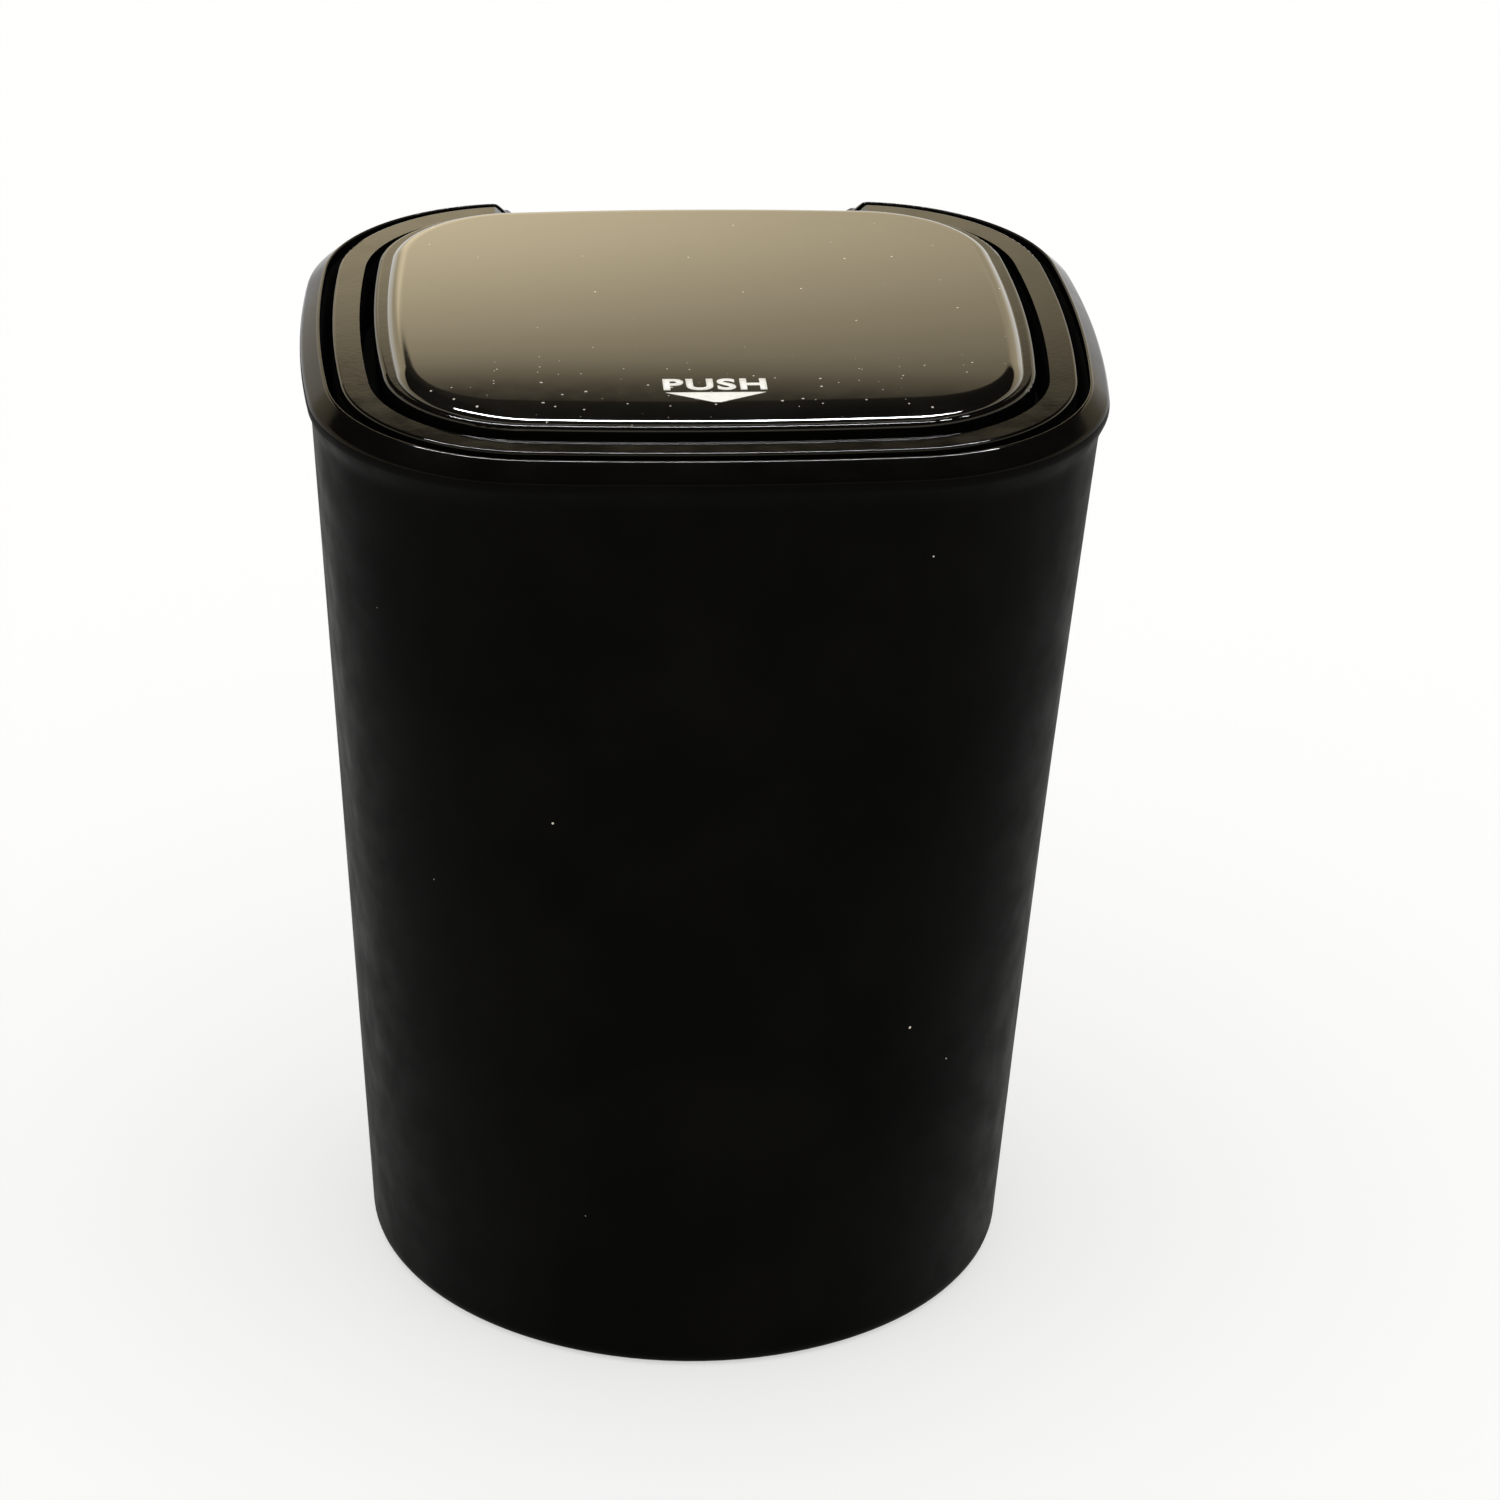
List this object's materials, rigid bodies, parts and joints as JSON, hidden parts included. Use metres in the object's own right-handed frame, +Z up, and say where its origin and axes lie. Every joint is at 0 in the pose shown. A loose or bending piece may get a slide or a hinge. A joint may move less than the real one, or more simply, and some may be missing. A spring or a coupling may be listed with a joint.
{
  "type": "car ashtray",
  "caption": "Tapered cup-holder ashtray with a round base and a rounded-rectangle rim, a lift-out head and a sprung push-to-open lid under a glossy domed plate.",
  "frame": {"origin": "centre of the base, at the bottom", "axes": "+Z up, -Y towards the front edge of the lid that is pushed, +Y towards the hinge, +X to the right seen from the front"},
  "size_m": [0.0806, 0.073, 0.1047],
  "materials": {
    "bin_plastic": "satin black",
    "frame_plastic": "satin black",
    "lid_plastic": "satin black",
    "panel_plastic": "fine texture",
    "dome_resin": "clear resin over black film",
    "steel": "zinc plated",
    "spring_steel": "drawn wire",
    "latch_plastic": "moulded",
    "slider_plastic": "natural acetal",
    "bumper_rubber": "matt"
  },
  "bodies": {
    "bin": {"bin": "bin_plastic"},
    "head": {"head_frame": "frame_plastic", "hinge_pin": "steel", "latch_case": "latch_plastic", "latch_spring": "spring_steel", "bumper_left": "bumper_rubber", "bumper_right": "bumper_rubber"},
    "lid": {"lid_shell": "lid_plastic", "lid_panel": "panel_plastic", "dome_plate": "dome_resin", "hinge_spring": "spring_steel", "lid_screw_1": "steel", "lid_screw_2": "steel", "lid_screw_3": "steel", "lid_screw_4": "steel"},
    "latch": {"latch_slider": "slider_plastic"}
  },
  "joints": [
    {"name": "head_lift", "type": "slide", "parent": "bin", "child": "head", "axis": [0, 0, 1], "range_m": [0, 0.03]},
    {"name": "lid_hinge", "type": "hinge", "parent": "head", "child": "lid", "pos_m": [0, 0.0315, 0.1004], "axis": [-1, 0, 0], "range_deg": [0, 90]},
    {"name": "latch_push", "type": "slide", "parent": "head", "child": "latch", "axis": [0, 0, 1], "range_m": [-0.0008, 0.002], "stiffness_N_per_m": 300, "deforming": ["latch_spring"]}
  ]
}
